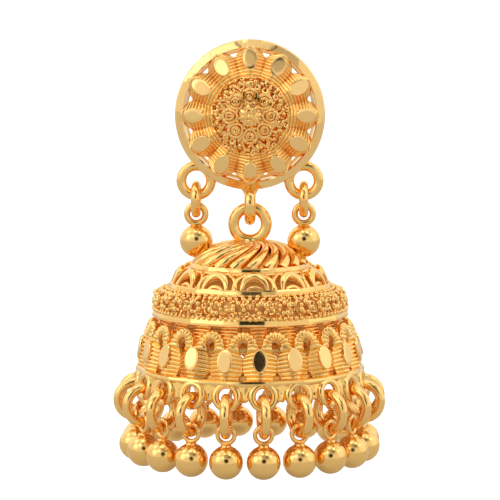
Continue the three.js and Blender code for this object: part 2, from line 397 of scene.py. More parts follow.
def half_strand(strand, rib_rows=7, across=9):
    """x, y and lift in mm of a half strand's skin, rows along it and columns round it.

    The leg rises straight to arch_foot and the arch turns a quarter about that point. Between
    the inner edge (t = 0) and the outer edge (t = 1) a point is their straight mix. The lift
    grows from the valley to the crest on the leg and rounds over on the arch, plus a rib of
    |sin| along the length. The back lies back mm behind, with shallower ribs.
    """
    length = strand.arch_foot + strand.arch * pi / 2 * (strand.arch_in + strand.arch_out) / 2
    rows = int(strand.ribs * rib_rows) + 1
    s = np.linspace(0, length, rows)[:, None]
    front = (1 - np.cos(np.linspace(0, pi, across))) / 2
    t = np.concatenate([front, front[::-1][1:-1]])[None, :]
    on_back = np.concatenate([np.zeros(across), np.ones(across - 2)])[None, :]
    rise = np.minimum(s, strand.arch_foot)
    turn = np.maximum(s - strand.arch_foot, 0) / ((strand.arch_in + strand.arch_out) / 2)
    closing = (strand.arch_foot - rise) / (strand.arch_foot - strand.tip)
    opening = strand.arch_in * np.clip(1 - closing**2, 0, 1)
    foot_gap = strand.foot_gap * np.clip(1 - rise / strand.foot_height, 0, 1)
    inner = np.maximum(opening, foot_gap) - strand.overlap
    narrowing = smooth_step(rise, strand.tip + 0.4, strand.arch_foot)
    outer = strand.half + strand.overlap - (strand.half + strand.overlap - strand.arch_out) * narrowing
    outer = outer * (1 - 0.09 * np.sin(turn))
    reach = inner + (outer - inner) * t
    x = reach * np.cos(turn)
    y = rise + reach * np.sin(turn) - strand.sag * (1 - t) ** 2 * (1 - narrowing)
    leg_lift = strand.valley + (strand.crest - strand.valley) * np.sin(pi / 2 * t) ** 2
    arch_lift = strand.crest * np.clip(np.sin(pi * t), 0, 1) ** 0.4
    edge = np.clip(np.minimum(t, 1 - t) / 0.06, 0, 1)
    lift = leg_lift * (1 - narrowing) + arch_lift * narrowing
    ribs = strand.rib * np.abs(np.sin(pi * strand.ribs * s / length)) ** 0.7 * np.sqrt(edge)
    lift = np.where(on_back > 0, strand.back - 0.8 * ribs, lift + ribs)
    return x + 0 * t, y + 0 * t, lift + 0 * s


def capped(points):
    """The grid with a pole at each end of its rows."""
    first = np.broadcast_to(points[..., :1, :, :].mean(-2, keepdims=True), points[..., :1, :, :].shape)
    last = np.broadcast_to(points[..., -1:, :, :].mean(-2, keepdims=True), points[..., -1:, :, :].shape)
    return np.concatenate([first, points, last], axis=-3)


DOME_STRAND = Strand(
    half=1.56, arch=1.0, arch_foot=3.0, arch_in=0.40, arch_out=1.38, tip=2.05, foot_gap=0.5,
    foot_height=0.8, overlap=0.03, sag=0.14, valley=-0.24, crest=0.26, rib=0.17, back=-0.4, ribs=12.5,
)
print("a half strand has", half_strand(DOME_STRAND)[0].size, "points")

# %% [markdown]
# ## The lower dome of the bell
#
# The dome's outline is a short list of radii and heights. Resampling it by its own length gives
# the wall's point and its outward direction at any distance above the rim, so the flat strand
# wraps onto it: x becomes an angle, y a distance up the wall and the lift goes outwards.

# %% Wrap a flat pattern onto a turned wall
DOME_WALL = np.array([[9.58, 0.55], [9.6, 1.3], [9.42, 2.35], [9.0, 3.5], [8.45, 4.55], [7.8, 5.4]])


def on_wall(outline, base_z, x, y, lift, cell):
    """Points of a turned wall.

    The outline is followed by its length: y is how far up it, lift how far off it, and x the
    angle as a share of the cell's half-width. Everything in mm, the result in metres.
    """
    step = np.linalg.norm(np.diff(outline, axis=0), axis=1)
    length = np.concatenate([[0], np.cumsum(step)])
    fine = np.linspace(0, length[-1], 60)
    r, z = (np.interp(fine, length, outline[:, i]) for i in (0, 1))
    soften = np.ones(9) / 9
    r, z = (np.convolve(np.pad(part, 4, "reflect", reflect_type="odd"), soften, "valid") for part in (r, z))
    dr, dz = np.gradient(r, fine), np.gradient(z, fine)
    slope = np.hypot(dr, dz)
    radius = np.interp(y, fine, r) + lift * np.interp(y, fine, dz / slope)
    height = np.interp(y, fine, z) - lift * np.interp(y, fine, dr / slope)
    angle = x * cell
    return np.stack(
        [radius * np.sin(angle), -radius * np.cos(angle), height + base_z / MM], -1
    ) * MM


first_drop = middle("drop_01") - BELL_AXIS
fringe_start = np.arctan2(first_drop[0], -first_drop[1])
fringe_angles = around(FRINGE, fringe_start)
CREST_LEAD = radians(-1.3)  # the dome's crests stand a little to the left of the fringe's rings
crest_angles = fringe_angles + CREST_LEAD
DOME_CELL = radians(9.0) / DOME_STRAND.half

x, y, lift = half_strand(DOME_STRAND)
wall_base = RIM_FOOT
strand_right = capped(on_wall(DOME_WALL, wall_base, x, y, lift, DOME_CELL))
strand_left = capped(on_wall(DOME_WALL, wall_base, -x, y, lift, DOME_CELL))
valleys = crest_angles + radians(9.0)
dome_patches = [
    (turned_about_z(half, valleys) + BELL_AXIS, False, True) for half in (strand_right, strand_left)
]


def ribbed_plate(half, low, high, ribs, lift, rib, back, rib_rows=7):
    """x, y and lift in mm of a small plate with ribs across it, as a stack of coils."""
    y = np.linspace(low, high, ribs * rib_rows + 1)[:, None]
    x = half * np.array([-1.0, -0.9, 0, 0.9, 1.0, 0.9, 0, -0.9])[None, :]
    front = np.array([0.3, 0.8, 1, 0.8, 0.3, 0, 0, 0])[None, :]
    bulge = rib * np.abs(np.sin(pi * ribs * (y - low) / (high - low))) ** 0.7
    height = np.where(front > 0, lift + (bulge - 0.2 * (1 - front)), back)
    return x + 0 * y, y + 0 * x, height


x, y, lift = ribbed_plate(0.98, 2.55, 4.95, 7, -0.36, 0.16, -0.62)
gusset = capped(on_wall(DOME_WALL, wall_base, x, y, lift, DOME_CELL))
dome_patches.append((turned_about_z(gusset, crest_angles) + BELL_AXIS, False, True))
piece("bell_dome", dome_patches, filigree, "bell", ["bell"])

hoop_section = wire_ring(0, 0.9 * MM, 3, 16)[0][None]
hoop = np.stack([hoop_section[..., 0] + 8.75 * MM, hoop_section[..., 1] + RIM_FOOT + 0.62 * MM], -1)
hoop = spun(hoop[..., 0], hoop[..., 1], around(180)) + BELL_AXIS
piece("bell_hoop", [(hoop, True, True)], inside_gold, "bell")

# %% [markdown]
# ## The oval flats
#
# A spinning diamond tool touches each crest and leaves an oval mirror. Every one stands at a
# slightly different angle, so one flashes white while its neighbour is dark: the tilts are
# drawn from a seeded generator. Each flat is a thin oval plate that just caps the ribs.

# %% A cut oval and the row of them round the dome
def oval_flat(half_x, half_y, thick, sides=36):
    """A plate in the XZ plane facing the front: rows go from its middle out, over a
    rounded edge and back behind to the middle."""
    share = np.array([0, 0.5, 0.86, 0.97, 1.04, 1.06, 1.04, 0])[:, None]
    depth = thick * np.array([0, 0, 0, 0.06, 0.3, 0.7, 1.0, 1.0])[:, None]
    a = around(sides)[None, :]
    return np.stack([half_x * share * np.sin(a), depth + 0 * a, half_y * share * np.cos(a)], -1)


def tilted(points, about_x, about_z):
    """Points turned by about_x about X, then by about_z about Z, one copy for each pair."""
    about_x = np.asarray(about_x)[:, None, None]
    x, y, z = points[..., 0], points[..., 1], points[..., 2]
    leaned = np.stack(
        [
            x + 0 * about_x,
            y * np.cos(about_x) - z * np.sin(about_x),
            y * np.sin(about_x) + z * np.cos(about_x),
        ],
        -1,
    )
    return np.stack([turned_about_z(one, turn) for one, turn in zip(leaned, about_z)])


def flats_on_wall(outline, height, lift, plate, angles, lean, wobble):
    """Copies of a plate standing off a turned wall at a height, one at each angle."""
    spot = on_wall(outline, wall_base, np.zeros(1), np.full(1, height), np.full(1, lift), 0)[0]
    count = len(angles)
    leans = -radians(lean) + radians(wobble) * rng.uniform(-1, 1, count)
    yaws = radians(wobble) * rng.uniform(-1, 1, count)
    plates = tilted(plate, leans, yaws) + spot
    return np.stack([turned_about_z(one, turn) for one, turn in zip(plates, angles)]) + BELL_AXIS


oval = oval_flat(0.64 * MM, 0.99 * MM, 0.28 * MM)
dome_ovals = flats_on_wall(DOME_WALL, 1.62, 0.44, oval, crest_angles, 13, 3.5)
piece("bell_dome_flats", [(dome_ovals, False, True)], cut_flat, "bell", sharp=radians(20))

# %% [markdown]
# ## The polished bands
#
# Three collars and the rim are strips of flat wire soldered round the bell, then cut in long
# flats so that they throw broken lines of light. A round band cut by a plane keeps, at each
# angle, the smaller of its radius and the plane's distance divided by the cosine.

# %% Collars and rim
BAND_STEPS = 360
FRONT_CUT = radians(1.0)  # every band has one short flat facing the front
FRONT_BITE = 0.06


def bright_cut(radius, angles, cuts, depth):
    """The radius left at each angle when planes bite depth deep at the cut angles."""
    away = np.cos(angles[:, None] - cuts[None, :])
    plane = (radius - depth[None, :]) / np.maximum(away, 0.2)
    return np.minimum(radius, plane.min(1))


def collar(section, foot_z, cuts, bite):
    """A closed band: the section's radii shrink with the cut, least at its back."""
    angles = around(BAND_STEPS)
    places = around(cuts, FRONT_CUT) + rng.uniform(-0.06, 0.06, cuts)
    depth = rng.uniform(0.4, 1.0, cuts) * bite
    places[0], depth[0] = FRONT_CUT, FRONT_BITE
    outer = section[:, 0].max()
    left = bright_cut(outer, angles, places, depth)[:, None] / outer
    inner = section[:, 0].min()
    share = (section[:, 0] - inner) / (outer - inner)
    radii = section[None, :, 0] * (1 + (left - 1) * share[None, :])
    band = spun(radii * MM, (section[None, :, 1]) * MM + foot_z, angles)
    return band + BELL_AXIS, True, True


RIM = np.array(
    [[9.2, 0.02], [9.9, 0.0], [10.1, 0.06], [10.17, 0.2], [10.17, 0.34], [10.1, 0.52], [9.95, 0.6], [9.2, 0.6]]
)
THIRD = np.array(
    [[7.9, 4.98], [8.62, 4.94], [8.72, 5.02], [8.7, 5.2], [8.6, 5.5], [8.52, 5.66], [8.4, 5.7], [7.9, 5.66]]
)
SECOND = np.array(
    [[6.3, 7.36], [7.14, 7.34], [7.26, 7.42], [7.24, 7.58], [7.15, 7.82], [7.08, 7.94], [6.3, 7.94]]
)
FIRST = np.array(
    [[4.5, 9.16], [5.16, 9.1], [5.32, 9.16], [5.31, 9.3], [5.24, 9.5], [5.16, 9.62], [4.5, 9.58]]
)
bands = [
    collar(RIM, RIM_FOOT, 19, 0.20),
    collar(THIRD, RIM_FOOT, 15, 0.20),
    collar(SECOND, RIM_FOOT, 13, 0.18),
    collar(FIRST, RIM_FOOT, 11, 0.12),
]
piece("bell_collars", bands, polished, "bell", sharp=radians(5))

# %% [markdown]
# ## The grain band
#
# Between the second and third collars lies a frieze of tiny curls and grains. Curls are short
# coils of flattened wire standing on their ends, so each shows a dark eye. Two staggered
# rows of small rings, each leaning its own way, with round grains in the gaps, give the same
# restless sparkle. There are hundreds, so each has only a few dozen faces.

# %% Curls and grains
GRAIN_WALL = np.array([[8.5, 5.6], [8.28, 5.95], [8.18, 6.5], [8.1, 7.05], [7.5, 7.35], [6.9, 7.45]])


def on_grain_wall(heights, lift, angles):
    """Places and outward directions on the frieze, one for each angle."""
    places, ends = (
        on_wall(GRAIN_WALL, RIM_FOOT, angles, heights, off + 0 * angles, 1.0)
        for off in (lift, lift + 1)
    )
    return places, (ends - places) / np.linalg.norm(ends - places, axis=1, keepdims=True)


def stood_on(shape, places, outward, spread):
    """Small shapes facing -Y, each turned to face outward and leaned a little at random."""
    up = np.array([0.0, 0.0, 1.0])
    outward = outward + spread * rng.normal(size=outward.shape)
    outward /= np.linalg.norm(outward, axis=1, keepdims=True)
    across = np.cross(outward, up)
    across /= np.linalg.norm(across, axis=1, keepdims=True)
    upright = np.cross(across, outward)
    basis = np.stack([-across, -outward, upright], 1)
    return np.einsum("nrcj,njk->nrck", shape, basis) + places[:, None, None, :]


ROSETTES = 26
small_grain = bead(1.0, rings=5, sides=8)
small_curl = wire_ring(0.66, 0.62, long=10, short=5)
# how far from the eye, how many, how large and how high above the wall, in mm, and the shape
PETALS = ((0.47, 7, 0.25, 0.18, small_grain), (0.90, 10, 0.29, 0.02, small_curl))
frieze = []
for far, count, size, lift, shape in PETALS:
    eye = np.repeat(around(ROSETTES, pi / ROSETTES), count)
    way = np.tile(around(count), ROSETTES) + rng.normal(0, 0.13, ROSETTES * count)
    angles = eye + far * np.sin(way) / 8.25
    heights = 0.96 + 0.92 * far * np.cos(way)
    sizes = size * MM * rng.uniform(0.72, 1.25, len(angles))
    places, outward = on_grain_wall(heights, lift, angles)
    shapes = shape[None] * sizes[:, None, None, None]
    frieze.append((stood_on(shapes, places, outward, 0.5) + BELL_AXIS, shape is small_curl, True))
for heights, count, size in ((0.02, 104, 0.19), (1.9, 84, 0.22), (2.35, 70, 0.2)):
    angles = around(count)
    places, outward = on_grain_wall(np.full(count, heights), 0.04, angles)
    shapes = small_grain[None] * (size * MM * rng.uniform(0.8, 1.2, count))[:, None, None, None]
    frieze.append((stood_on(shapes, places, outward, 0.3) + BELL_AXIS, False, True))
wall_section = np.array([[7.6, 5.5], [8.1, 5.5], [7.88, 5.95], [7.76, 6.5], [7.65, 7.0], [7.2, 7.2], [6.7, 7.3], [6.6, 7.1], [7.4, 6.7]])
backing = spun(wall_section[None, :, 0] * MM, wall_section[None, :, 1] * MM + RIM_FOOT, around(120))
piece("bell_grains", frieze, grain_gold, "bell")
piece("bell_frieze_wall", [(backing + BELL_AXIS, True, True)], inside_gold, "bell")

# %% [markdown]
# ## The arches
#
# The tier above is a row of arches of bent strip, each thicker at its top so that it catches
# the light as a crescent, over an open hollow. Between them Y-shaped posts hold the collar
# above. Each is a wire carried along a curve on the sloping wall.

# %% The row of arches
ARCHES = 12
ARCH_WALL = np.array([[6.78, 7.66], [6.72, 7.9], [6.4, 8.35], [5.95, 8.8], [5.2, 9.16], [4.7, 9.3]])
ARCH_START = radians(3.3)


def wires_on_wall(x, y, lift, half_width, half_height, copies, outline=ARCH_WALL, roundness=1.0):
    """A wire along a curve drawn on the unrolled wall (x in radians), one copy for each angle."""
    path = on_wall(outline, RIM_FOOT, x, y, lift, 1.0)
    ahead = on_wall(outline, RIM_FOOT, x, y, lift + 1.0, 1.0)
    wire = wire_along(path, ahead - path, half_width * MM, half_height * MM, 16, roundness)
    return turned_about_z(wire, copies) + BELL_AXIS, False, True


arch_angles = around(ARCHES, ARCH_START)
post_angles = arch_angles + pi / ARCHES
a = np.linspace(-0.12 * pi, 1.12 * pi, 28)
crescent = 0.14 + 0.25 * np.clip(np.sin(a), 0, 1) ** 1.5
arch_x, arch_y = radians(9.3) * np.cos(a), 0.06 + 1.42 * np.sin(a)
lens_x, lens_y = radians(6.2) * np.cos(a), 0.0 + 0.5 * np.sin(a)
lens = 0.05 + 0.10 * np.clip(np.sin(a), 0, 1)
u = np.linspace(0, 1, 12)
arch_patches = [
    wires_on_wall(arch_x, arch_y, 0.16 + 0.1 * np.sin(a), crescent, crescent * 0.9, arch_angles, roundness=0.55),
    wires_on_wall(lens_x, lens_y, 0.05 + 0 * a, lens, 0.5 * lens, arch_angles, roundness=0.55),
    wires_on_wall(0 * u, 0.9 * u, 0 * u, 0.3 - 0.12 * u, 0.16 + 0 * u, post_angles, roundness=0.6),
    wires_on_wall(radians(9.0) * u**1.5, 0.9 + 1.4 * u, 0 * u, 0.2 + 0 * u, 0.15 + 0 * u, post_angles),
    wires_on_wall(-radians(9.0) * u**1.5, 0.9 + 1.4 * u, 0 * u, 0.2 + 0 * u, 0.15 + 0 * u, post_angles),
]
turn = around(180)
for height, wide in ((0.02, 0.17), (2.24, 0.30)):
    ring = on_wall(ARCH_WALL, RIM_FOOT, turn, np.full(180, height), np.full(180, -0.03), 1.0)
    off = on_wall(ARCH_WALL, RIM_FOOT, turn, np.full(180, height), np.full(180, 1.0), 1.0)
    rail = wire_along(ring, off - ring, np.full(180, wide * MM), np.full(180, 0.14 * MM), 8)[1:-1]
    arch_patches.append((rail + BELL_AXIS, True, True))
piece("bell_arches", arch_patches, polished, "bell")

# %% [markdown]
# ## The crown
#
# Twenty thick wires lie over the crown and are twisted as they climb, like the folds of a
# turban. On a cone, a curve whose angle grows evenly with its height is such a twist. Each wire
# is thick at its foot and thin at its top, over a plain cone that closes the gaps.

# %% Twisted crown
CROWN_RIBS = 20
CROWN_TWIST = radians(52)
CROWN_WALL = np.array(
    [[4.72, 9.5], [4.55, 9.9], [4.1, 10.3], [3.3, 10.72], [2.4, 11.03], [1.5, 11.25], [0.7, 11.36]]
)

u = np.linspace(0, 1, 30)
rise = u * 4.6
wide = 0.48 - 0.27 * u
crown_patches = [
    wires_on_wall(
        CROWN_TWIST * u, rise, 0.02 + 0.1 * np.sin(pi * u), wide, 0.44 - 0.2 * u,
        around(CROWN_RIBS), CROWN_WALL,
    )
]
cone = np.array([[0, 11.2], [1.3, 11.05], [3.0, 10.55], [4.2, 9.95], [4.6, 9.4], [4.3, 9.2], [2.6, 10.2], [0, 10.6]])
cone_grid = spun(cone[None, :, 0] * MM, cone[None, :, 1] * MM + RIM_FOOT, around(96))
cone_patches = [(cone_grid.transpose(1, 0, 2) + BELL_AXIS, False, True)]
piece("bell_crown", crown_patches, polished, "bell")
piece("bell_crown_cone", cone_patches, inside_gold, "bell")

# %% [markdown]
# ## The hanging rings
#
# The bell's ring is a turn of thick round wire standing on a low mound of solder. The stud has a
# staple for it, seen edge-on, and a ring at each side. All are tori; the solder is a
# skirt whose radius falls away with height.

# %% The bell's ring
BELL_RING = (1.44 * MM, 1.0 * MM)


def solder_mound(top, foot, height, steps=10, sides=32):
    """A skirt about the Z axis: the radius goes from foot to top on a quarter of a cosine."""
    u = np.linspace(0, 1, steps)
    radii = np.concatenate([[0], foot + (top - foot) * np.sin(u * pi / 2), [0]])
    heights = np.concatenate([[0], height * u, [height]])
    return spun(radii[None, :], heights[None, :], around(sides)).transpose(1, 0, 2)


bell_ring_z = hinge[2] - BELL_RING[0]
bell_ring = wire_ring(*BELL_RING, long=96, short=24) + [0, HANG_Y, bell_ring_z]
mound_z = bell_ring_z - BELL_RING[0] - BELL_RING[1] * 0.55
mound = solder_mound(0.62 * MM, 1.75 * MM, 1.0 * MM) + [0, HANG_Y, mound_z - 0.3 * MM]
piece(
    "bell_ring", [(bell_ring, True, True), (mound, False, True)], drawn_wire, "bell"
)

# %% [markdown]
# ## The carrier under the rim
#
# A row of round wire rings is soldered to the underside of the rim, edge to edge, and solder
# fills the wedges between them. Each ring leans out a little. The filler is a plate whose
# half-width at each height is what is left between two circles.

# %% Carrier rings and the solder between them
CARRIER_RING = (0.97 * MM, 0.64 * MM)
carrier_z = bell_low[2] + CARRIER_RING[1] / 2 + CARRIER_RING[0]
link_middle = middle("jump_ring_01") - BELL_AXIS
hang_radius = np.hypot(link_middle[0], link_middle[1])
LEAN = radians(12)


def leaned_out(points, foot_radius):
    """Points round (0, 0, 0) leaned so that their foot is at the radius, facing the front."""
    x, y, z = points[..., 0], points[..., 1], points[..., 2]
    foot = CARRIER_RING[0]
    return np.stack([x, y - foot_radius + np.tan(LEAN) * (z + foot), z + carrier_z], -1)


ring = leaned_out(wire_ring(*CARRIER_RING, long=44, short=12), hang_radius)
pitch_half = pi / FRINGE * hang_radius
z = np.linspace(0.97, -0.5, 16)[:, None] * MM
ring_out = CARRIER_RING[0] + CARRIER_RING[1] / 2
beside = pitch_half - np.sqrt(np.clip(ring_out**2 - np.maximum(z, 0) ** 2, 0, None)) + 0.10 * MM
gap = beside * np.sqrt(1 - (np.minimum(z, 0) / (0.51 * MM)) ** 2)
t = np.array([-1, -0.9, 0, 0.9, 1, 1, 0.9, 0, -0.9, -1])[None, :]
face = np.array([-0.02, -0.1, -0.26, -0.1, -0.02, 0.02, 0.1, 0.2, 0.1, 0.02])[None, :] * MM
web = capped(leaned_out(np.stack([gap * t, face + 0 * z, z + 0 * t], -1), hang_radius))
carrier = [
    (turned_about_z(ring, fringe_angles) + BELL_AXIS, True, True),
    (turned_about_z(web, fringe_angles + pi / FRINGE) + BELL_AXIS, False, True),
]
piece("bell_carrier", carrier, polished, "bell")

# %% [markdown]
# ## The fringe
#
# Every carrier ring holds a round link that hangs edge-on, and every link holds a bead by its
# loop. On the real thing none hangs quite true, so each link is turned a few degrees about the
# upright from a seeded generator. The bead is a ball with a small collar where its loop is
# soldered on.

# %% Links and beads
def ring_sizes(node):
    """Half the height of a sideways ring's node: the radius to the wire's outer edge."""
    low, high = corners(node)
    return (high[2] - low[2]) / 2


LINK_WIRE = 0.86 * MM
LINK_RADIUS = ring_sizes("jump_ring_01") - LINK_WIRE / 2
LOOP = (0.74 * MM, 0.40 * MM)
BEAD_RADIUS = 1.46 * MM
NECK = (0.5 * MM, 0.34 * MM)


def neck(radius, top_z, foot_z, sides=24):
    """A fillet of solder: narrow under the loop, spreading where it meets the bead."""
    u = np.linspace(0, 1, 8)
    radii = radius * (0.55 + 0.45 * u**2.2)
    radii = np.concatenate([[0], radii, [0]])
    heights = np.concatenate([[top_z], top_z + (foot_z - top_z) * u, [foot_z]])
    return spun(radii[None, :], heights[None, :], around(sides)).transpose(1, 0, 2)


def drop_patches(node, loop, turn):
    """A drop's loop, collar and bead: the loop's top and the bead's foot are the node's."""
    low, high = corners(node)
    spot = np.array([(low[0] + high[0]) / 2, (low[1] + high[1]) / 2, 0])
    loop_z = high[2] - loop[0] - loop[1] / 2
    bead_z = low[2] + BEAD_RADIUS
    loop_ring = turned_about_z(wire_ring(*loop, long=36, short=12), turn) + [0, 0, loop_z]
    ball = turned_about_z(bead(BEAD_RADIUS), turn) + [0, 0, bead_z]
    collar_top = loop_z - loop[0] - loop[1] * 0.3
    collar_foot = bead_z + BEAD_RADIUS * 0.82
    joint = neck(BEAD_RADIUS * 0.56, collar_top, collar_foot)
    return [(loop_ring + spot, True, True), (joint + spot, False, True), (ball + spot, False, True)]


link_ring = sideways(wire_ring(LINK_RADIUS, LINK_WIRE, long=56, short=16))
for number, angle in zip(FRINGE_NUMBERS, fringe_angles):
    yaw = radians(rng.uniform(-9, 9))
    link_name, drop_name = f"jump_ring_{number}", f"drop_{number}"
    link = turned_about_z(link_ring, angle + yaw) + middle(link_name)
    piece(f"{link_name}_wire", [(link, True, True)], drawn_wire, "bell", [link_name])
    turn = angle + radians(rng.uniform(-7, 7))
    hanging = drop_patches(drop_name, LOOP, turn)
    piece(f"{drop_name}_bead", hanging, cast_bead, "bell", [drop_name])

# %% [markdown]
# ## The stud's rim
#
# The stud's edge is a band whose front was cut in long flats by a flat tool, so its inside edge
# is a row of chords while its outside stays round. At each angle the band's height is the
# smaller of its rounded section and a tilted plane.

# %% Bright-cut bezel
STUD_RADIUS = stud_high[0]
BEZEL = np.array(
    [
        [5.5, 0.0], [6.1, 0.0], [6.5, 0.25], [6.6, 0.6], [6.6, 1.1], [6.5, 1.42],
        [6.3, 1.62], [6.1, 1.7], [5.92, 1.66], [5.8, 1.5], [5.76, 1.2], [5.7, 0.6],
    ]
)
BEZEL_CUTS = 14


def stood_up(points):
    """Points about the Z axis laid over so that +Z becomes the front (-Y)."""
    return np.stack([points[..., 0], -points[..., 2], points[..., 1]], -1)


angles = around(360)
cuts = around(BEZEL_CUTS, 0.35) + rng.uniform(-0.05, 0.05, BEZEL_CUTS)
slopes = np.tan(radians(rng.uniform(8, 36, BEZEL_CUTS)))
middle_height = rng.uniform(1.34, 1.56, BEZEL_CUTS)
radii = np.broadcast_to(BEZEL[None, :, 0], (len(angles), len(BEZEL)))
reach = radii[:, :, None] * np.cos(angles[:, None] - cuts[None, :])[:, None, :]
planes = middle_height - slopes * (reach - 6.2)
facing = np.cos(angles[:, None] - cuts[None, :])[:, None, :] > 0.7
planes = np.where(facing, planes, 9.0).min(2)
heights = np.minimum(BEZEL[None, :, 1], np.maximum(planes, 0.5))
bezel = spun(radii * MM * STUD_RADIUS / (6.6 * MM), heights * MM, angles)
piece("stud_bezel", [(stood_up(bezel), True, True)], cut_flat, "stud", ["stud"], sharp=radians(9))

# %% [markdown]
# ## The stud's dome
#
# The stud repeats the bell's pattern on a dome that faces forward: the same half strand, twelve
# times round, with no arch. The unrolled wall's foot lies on the bezel and its top points to the
# middle. Between the strands' feet the three-cornered openings show the light behind.

# %% Strands and ovals of the stud
STUD_CELLS = 12
STUD_WALL = np.array([[5.95, 1.45], [5.4, 1.95], [4.6, 2.38], [3.8, 2.72], [3.0, 2.95], [2.2, 3.1], [1.4, 3.2]])
STUD_STRAND = Strand(
    half=1.5, arch=0.0, arch_foot=3.2, arch_in=0.4, arch_out=1.5, tip=-5.0, foot_gap=0.62,
    foot_height=0.85, overlap=0.03, sag=0.16, valley=-0.46, crest=0.16, rib=0.15, back=-0.8, ribs=10.0,
)


def half_ray(strand, rib_rows=8, across=9):
    """A straight half strand: as half_strand, with no opening above its foot."""
    s = np.linspace(0, strand.arch_foot, int(strand.ribs * rib_rows) + 1)[:, None]
    front = (1 - np.cos(np.linspace(0, pi, across))) / 2
    t = np.concatenate([front, front[::-1][1:-1]])[None, :]
    on_back = np.concatenate([np.zeros(across), np.ones(across - 2)])[None, :]
    inner = strand.foot_gap * np.clip(1 - s / strand.foot_height, 0, 1) - strand.overlap
    outer = strand.half + strand.overlap
    x = inner + (outer - inner) * t
    y = s - strand.sag * (1 - t) ** 2
    fade = 1 - 0.6 * smooth_step(s, 1.8, strand.arch_foot)
    lift = strand.valley * fade + (strand.crest - strand.valley) * fade * np.sin(pi / 2 * t) ** 2
    edge = np.sqrt(np.clip(t / 0.06, 0, 1))
    ribs = strand.rib * np.abs(np.sin(pi * strand.ribs * s / strand.arch_foot)) ** 0.8 * edge
    return x + 0 * s, y + 0 * t, np.where(on_back > 0, strand.back - 0.6 * ribs, lift + ribs)


STUD_CELL = pi / STUD_CELLS / STUD_STRAND.half
x, y, lift = half_ray(STUD_STRAND)
ray_angles = around(STUD_CELLS, pi / STUD_CELLS)
stud_patches = []
for side in (-1, 1):
    half = capped(on_wall(STUD_WALL, 0, side * x, y, lift, STUD_CELL))
    stud_patches.append((stood_up(turned_about_z(half, ray_angles)), False, True))
piece("stud_dome", stud_patches, filigree, "stud")

# %% The stud's oval flats
def stud_flats(count, radius, height, plate, slope, wobble, start=0.0):
    """Plates round the dome: each leans outward by the slope, plus its own small error."""
    lean = radians(90 - slope) + radians(wobble) * rng.uniform(-1, 1, count)
    yaw = radians(wobble) * rng.uniform(-1, 1, count)
    plates = tilted(plate, -lean, yaw) + [0, -radius, height]
    turned = [turned_about_z(one, turn) for one, turn in zip(plates, around(count, start))]
    return stood_up(np.stack(turned)), False, True


stud_oval = oval_flat(0.62 * MM, 0.92 * MM, 0.25 * MM)
piece(
    "stud_flats", [stud_flats(STUD_CELLS, 4.95 * MM, 2.57 * MM, stud_oval, 24.5, 4)],
    cut_flat, "stud", sharp=radians(20),
)

# %% [markdown]
# ## The flower in the middle
#
# The stud's middle is a boss of tiny work: a star of eight rays, a ring of eight petals bent
# from two turns of wire, and an edge of curls and grains. Each curl leans its own way, so the
# boss glitters from every side.

# %% Rosette
FLOWER_OUTLINE = np.array([[3.5, 2.88], [3.0, 3.02], [2.3, 3.2], [1.5, 3.36], [0.8, 3.43], [0.05, 3.45]])


def on_flower(radius, angle, lift):
    """A place on the boss at a radius and an angle, in metres, lift mm off it."""
    height = np.interp(radius, FLOWER_OUTLINE[::-1, 0], FLOWER_OUTLINE[::-1, 1]) + lift
    return np.stack([radius * np.sin(angle), -radius * np.cos(angle), height], -1) * MM


def flower_wires(radius, angle, lift, half_width, copies, roundness=1.0):
    """A thin wire along a curve on the boss, one copy for each angle."""
    path = on_flower(radius, angle, lift)
    wire = wire_along(path, np.array([0, 0, 1.0]), half_width * MM, half_width * MM, 8, roundness)
    return stood_up(turned_about_z(wire, copies)), False, True


def scattered(shape, radius, count, size, lift, lean, start=0.0):
    """Small shapes in a ring on the boss, each leaned its own way."""
    angle = around(count, start) + rng.normal(0, 0.03, count)
    radius = radius + rng.normal(0, 0.05, count)
    places = on_flower(radius, angle, lift + rng.normal(0, 0.03, count))
    facing = np.stack([0.25 * np.sin(angle), -0.25 * np.cos(angle), np.ones(count)], -1)
    places, facing = stood_up(places), stood_up(facing)
    shapes = shape[None] * (size * MM * rng.uniform(0.85, 1.15, count))[:, None, None, None]
    return stood_on(shapes, places, facing, lean), shape is small_curl, True


